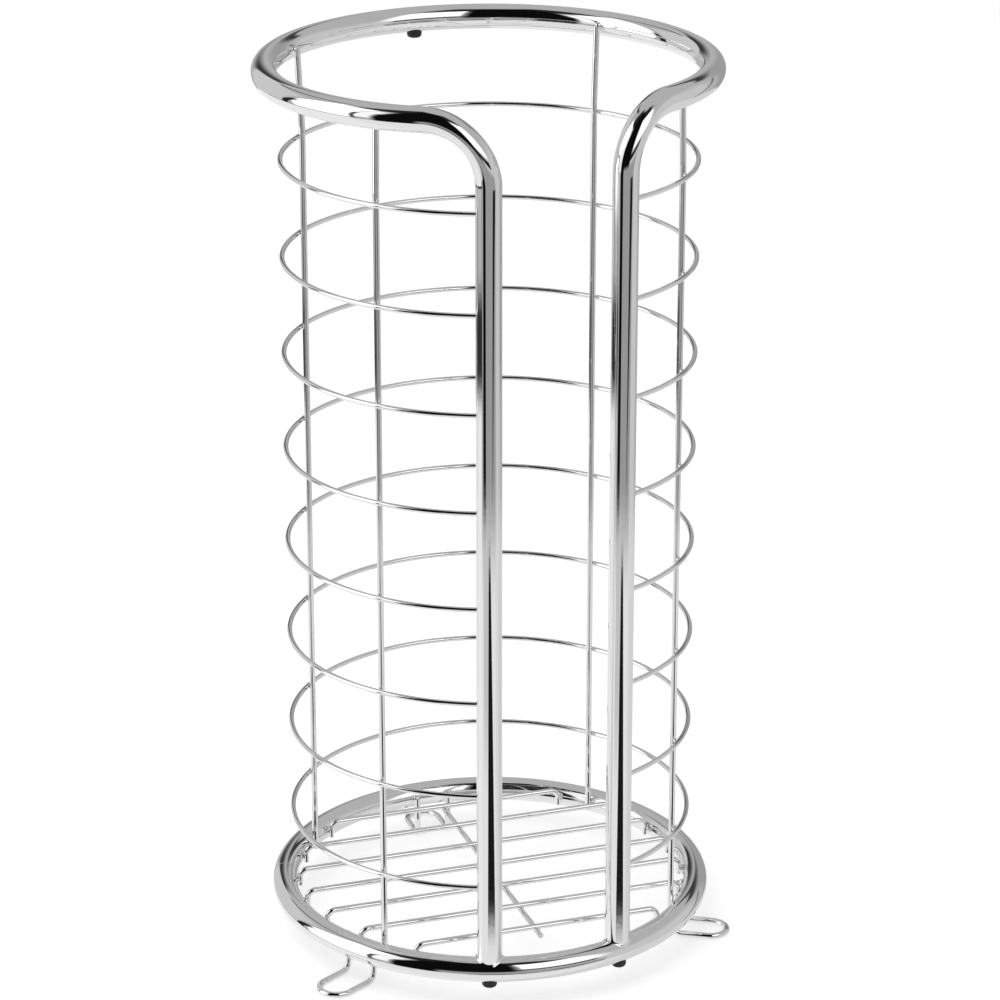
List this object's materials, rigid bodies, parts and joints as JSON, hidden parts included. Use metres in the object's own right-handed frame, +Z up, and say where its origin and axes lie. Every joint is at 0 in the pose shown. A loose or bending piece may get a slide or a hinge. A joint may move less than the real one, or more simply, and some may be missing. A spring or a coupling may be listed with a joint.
{
  "type": "toilet roll storage holder",
  "caption": "Free-standing round wire basket for spare toilet rolls, open at the top and down the front, with a bent-tube frame and wire loop feet.",
  "frame": {"origin": "on the floor, below the middle of the whole object's box", "axes": "+Z up; the open front faces -Y; +X to the right as seen from the front"},
  "size_m": [0.1832, 0.1906, 0.3653],
  "materials": {
    "chrome_tube": "polished chrome plate on bent steel tube",
    "chrome_wire": "polished chrome plate on round steel wire",
    "black_rubber": "matt black moulded rubber"
  },
  "bodies": {
    "root": {"frame_tube": "chrome_tube", "base_ring": "chrome_tube", "hoop_1": "chrome_wire", "hoop_2": "chrome_wire", "hoop_3": "chrome_wire", "hoop_4": "chrome_wire", "hoop_5": "chrome_wire", "hoop_6": "chrome_wire", "hoop_7": "chrome_wire", "hoop_8": "chrome_wire", "upright_front_left": "chrome_wire", "upright_front_right": "chrome_wire", "upright_rear_left": "chrome_wire", "upright_rear_right": "chrome_wire", "floor_wire_1": "chrome_wire", "floor_wire_2": "chrome_wire", "floor_wire_3": "chrome_wire", "floor_wire_4": "chrome_wire", "floor_wire_5": "chrome_wire", "floor_wire_6": "chrome_wire", "floor_wire_7": "chrome_wire", "cross_wire": "chrome_wire", "loop_foot_left": "chrome_wire", "loop_foot_right": "chrome_wire", "loop_foot_rear": "chrome_wire", "vent_plug_base_left": "black_rubber", "vent_plug_base_right": "black_rubber", "vent_plug_top": "black_rubber"}
  },
  "joints": []
}
